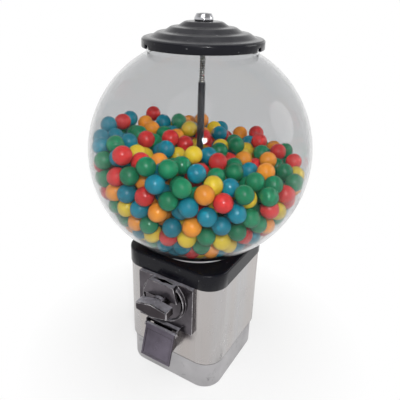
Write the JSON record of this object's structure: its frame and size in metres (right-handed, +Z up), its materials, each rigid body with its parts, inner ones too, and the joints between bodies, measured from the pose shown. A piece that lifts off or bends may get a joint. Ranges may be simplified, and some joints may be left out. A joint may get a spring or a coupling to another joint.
{
  "type": "gumball machine",
  "caption": "Countertop gumball machine: clear globe of gumballs on a satin metal body, black collar and lid, coin handle, chute flap",
  "frame": {"origin": "middle of the underside of the base tray", "axes": "+Z up, the front with the coin mechanism faces -Y, +X to the right seen from the front"},
  "size_m": [0.2799, 0.28, 0.4821],
  "materials": {
    "cast_aluminium": "fine sand-cast aluminium, lightly tumbled",
    "body_steel": "satin plated sheet steel with a warm tone",
    "black_moulding": "black glossy moulded plastic",
    "dark_chrome": "dark plated zinc casting",
    "bright_chrome": "bright chrome plate",
    "clear_globe": "clear blown globe with fine scuffs",
    "rod_sleeve_dark": "dark coated steel tube",
    "inner_steel": "plain zinc-plated steel",
    "inner_nylon": "natural nylon moulding",
    "rubber_seal": "black rubber seal",
    "pale_gasket": "pale translucent soft seal",
    "bristle": "stiff nylon bristle",
    "brass_core": "turned brass",
    "gum_blue": "glossy hard sugar shell",
    "gum_green": "glossy hard sugar shell",
    "gum_orange": "glossy hard sugar shell",
    "gum_red": "glossy hard sugar shell",
    "gum_yellow": "glossy hard sugar shell"
  },
  "bodies": {
    "root": {"base_tray": "cast_aluminium", "body_shell": "body_steel", "collar": "black_moulding", "hopper_cup": "cast_aluminium", "globe_gasket": "pale_gasket", "globe": "clear_globe", "ball_guard": "inner_nylon", "guard_brush": "bristle", "center_rod": "bright_chrome", "rod_sleeve": "rod_sleeve_dark", "rod_washer": "inner_steel", "rod_nut": "inner_steel", "drop_chute": "inner_nylon", "chute_spout": "dark_chrome", "flap_pin": "inner_steel", "mech_plate": "dark_chrome", "mech_posts": "inner_steel", "mech_backplate": "inner_steel", "mech_nuts": "inner_steel", "shaft_bush": "brass_core", "pawl_pin": "inner_steel", "gumballs_blue": "gum_blue", "gumballs_green": "gum_green", "gumballs_orange": "gum_orange", "gumballs_red": "gum_red", "gumballs_yellow": "gum_yellow"},
    "handle": {"handle": "dark_chrome", "handle_shaft": "inner_steel", "coin_wheel": "dark_chrome", "ratchet_wheel": "inner_steel", "drive_pinion": "brass_core", "shaft_clip": "inner_steel"},
    "wheel": {"product_wheel": "inner_nylon", "wheel_bush": "brass_core"},
    "flap": {"chute_flap": "dark_chrome"},
    "lid": {"lid": "black_moulding", "lid_gasket": "rubber_seal", "lock_barrel": "bright_chrome", "lock_nut": "inner_steel"},
    "lock": {"lock_plug": "brass_core"},
    "pawl": {"ratchet_pawl": "inner_steel"}
  },
  "joints": [
    {"name": "handle_turn", "type": "hinge", "parent": "root", "child": "handle", "pos_m": [0, -0.078, 0.1355], "axis": [0, 1, 0], "continuous": true},
    {"name": "wheel_turn", "type": "hinge", "parent": "root", "child": "wheel", "pos_m": [0, 0, 0.14523], "axis": [0, 0, 1], "continuous": true},
    {"name": "flap_swing", "type": "hinge", "parent": "root", "child": "flap", "pos_m": [0, -0.087, 0.09], "axis": [-1, 0, 0], "range_deg": [0, 75]},
    {"name": "lid_lift", "type": "slide", "parent": "root", "child": "lid", "axis": [0, 0, 1], "range_m": [0, 0.12]},
    {"name": "lock_turn", "type": "hinge", "parent": "lid", "child": "lock", "pos_m": [0, 0, 0.47434], "axis": [0, 0, 1], "range_deg": [0, 90]},
    {"name": "pawl_lift", "type": "hinge", "parent": "root", "child": "pawl", "pos_m": [0.025, -0.07, 0.1455], "axis": [0, 1, 0], "range_deg": [0, 10]}
  ],
  "couplings": [
    {"joint": "wheel_turn", "follows": "handle_turn", "ratio": 0.16667}
  ]
}
